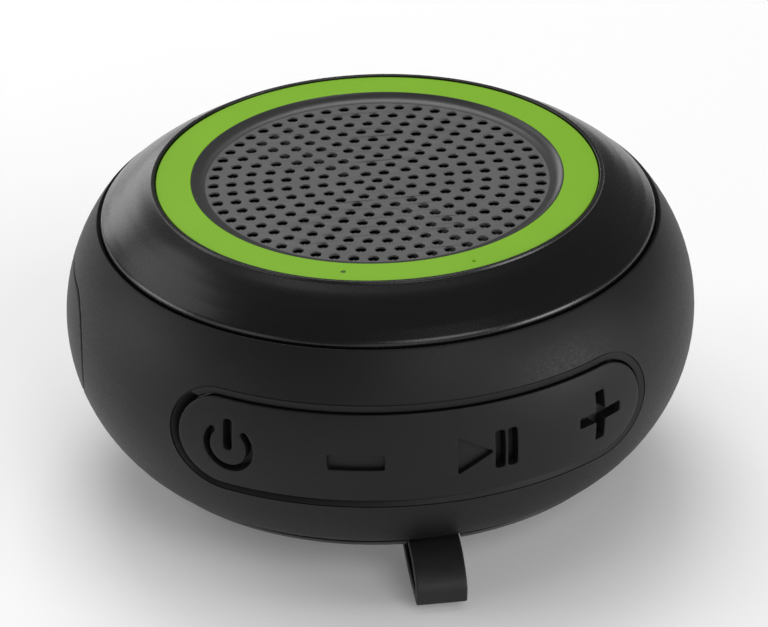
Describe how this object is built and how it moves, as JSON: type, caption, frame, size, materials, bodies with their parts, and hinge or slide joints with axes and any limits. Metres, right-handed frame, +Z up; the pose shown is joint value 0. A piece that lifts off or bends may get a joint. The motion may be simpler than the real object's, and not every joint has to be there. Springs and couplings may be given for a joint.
{
  "type": "shower speaker",
  "caption": "Round puck speaker for wet rooms: rubber grip sleeve, perforated grille with accent ring, wrapped keypad, port cover, strap loop and suction cup.",
  "frame": {"origin": "centre of the suction cup's lip plane, the lowest plane of the part", "axes": "+Z up through the grille, -Y towards the middle of the keypad, -X through the port cover"},
  "size_m": [0.09, 0.09, 0.0457],
  "materials": {
    "sleeve_rubber": "satin moulded, fine texture",
    "silicone": "satin moulded silicone",
    "black_plastic": "satin, fine spark texture",
    "green_plastic": "satin, dyed through",
    "painted_grille": "satin grey paint",
    "mesh_film": "glossy film",
    "grey_plastic": "matte",
    "foam": "open foam",
    "seal_rubber": "matte",
    "steel": "plain",
    "zinc_steel": "zinc plated",
    "ferrite": "ground",
    "paper": "pressed pulp",
    "spider_cloth": "resin stiffened cloth",
    "copper_wire": "enamelled winding",
    "board_green": "solder mask",
    "chip_black": "moulded epoxy",
    "battery_film": "shrink film",
    "clear_plastic": "clear",
    "white_plastic": "plain",
    "cup_rubber": "smooth soft vinyl"
  },
  "bodies": {
    "case": {"accent_ring": "green_plastic", "amplifier_chip": "chip_black", "battery": "battery_film", "battery_pad_left": "foam", "battery_pad_right": "foam", "bezel_o_ring": "seal_rubber", "bluetooth_module": "zinc_steel", "capacitor": "chip_black", "driver_basket": "steel", "driver_gasket": "foam", "driver_magnet": "ferrite", "driver_screw_1": "steel", "driver_screw_2": "steel", "driver_screw_3": "steel", "driver_screw_4": "steel", "driver_spider": "spider_cloth", "driver_surround": "silicone", "driver_top_plate": "zinc_steel", "driver_yoke": "zinc_steel", "front_bezel": "black_plastic", "grille_plate": "painted_grille", "grille_retainer": "black_plastic", "grip_sleeve": "sleeve_rubber", "indicator_board": "board_green", "inner_housing": "black_plastic", "key_board": "board_green", "keypad_frame": "silicone", "light_pipe": "clear_plastic", "main_board": "board_green", "microphone": "chip_black", "port_board": "board_green", "rear_cover": "grey_plastic", "rear_o_ring": "seal_rubber", "rear_screw_1": "steel", "rear_screw_2": "steel", "rear_screw_3": "steel", "rear_screw_4": "steel", "splash_membrane": "mesh_film", "status_led": "white_plastic", "strap_pin": "steel", "switch_minus": "chip_black", "switch_play": "chip_black", "switch_plus": "chip_black", "switch_power": "chip_black", "usb_socket": "steel"},
    "diaphragm": {"driver_cone": "paper", "dust_cap": "paper", "voice_coil": "copper_wire"},
    "power_key": {"key_power": "silicone", "plunger_power": "white_plastic"},
    "minus_key": {"key_minus": "silicone", "plunger_minus": "white_plastic"},
    "play_key": {"key_play": "silicone", "plunger_play": "white_plastic"},
    "plus_key": {"key_plus": "silicone", "plunger_plus": "white_plastic"},
    "port_door": {"port_cover": "silicone"},
    "strap": {"strap_loop": "silicone"},
    "cup": {"suction_cup": "cup_rubber"}
  },
  "joints": [
    {"name": "diaphragm_travel", "type": "slide", "parent": "case", "child": "diaphragm", "axis": [0, 0, 1], "range_m": [-0.001, 0.001], "stiffness_N_per_m": 800, "deforming": ["driver_surround", "driver_spider"]},
    {"name": "power_press", "type": "slide", "parent": "case", "child": "power_key", "axis": [0.5686, 0.8226, 0], "range_m": [0, 0.00035], "stiffness_N_per_m": 3000},
    {"name": "minus_press", "type": "slide", "parent": "case", "child": "minus_key", "axis": [0.2002, 0.9798, 0], "range_m": [0, 0.00035], "stiffness_N_per_m": 3000},
    {"name": "play_press", "type": "slide", "parent": "case", "child": "play_key", "axis": [-0.2002, 0.9798, 0], "range_m": [0, 0.00035], "stiffness_N_per_m": 3000},
    {"name": "plus_press", "type": "slide", "parent": "case", "child": "plus_key", "axis": [-0.5686, 0.8226, 0], "range_m": [0, 0.00035], "stiffness_N_per_m": 3000},
    {"name": "port_cover_hinge", "type": "hinge", "parent": "case", "child": "port_door", "pos_m": [-0.04361, 0.01108, 0.0254], "axis": [0, 0, -1], "range_deg": [0, 100]},
    {"name": "strap_flex", "type": "hinge", "parent": "case", "child": "strap", "pos_m": [0.0024, -0.029, 0.005], "axis": [1, 0, 0], "range_deg": [-3, 70], "stiffness_Nm_per_rad": 0.003},
    {"name": "cup_swivel", "type": "hinge", "parent": "case", "child": "cup", "pos_m": [0, 0, 0.006], "axis": [0, 0, 1], "continuous": true}
  ]
}
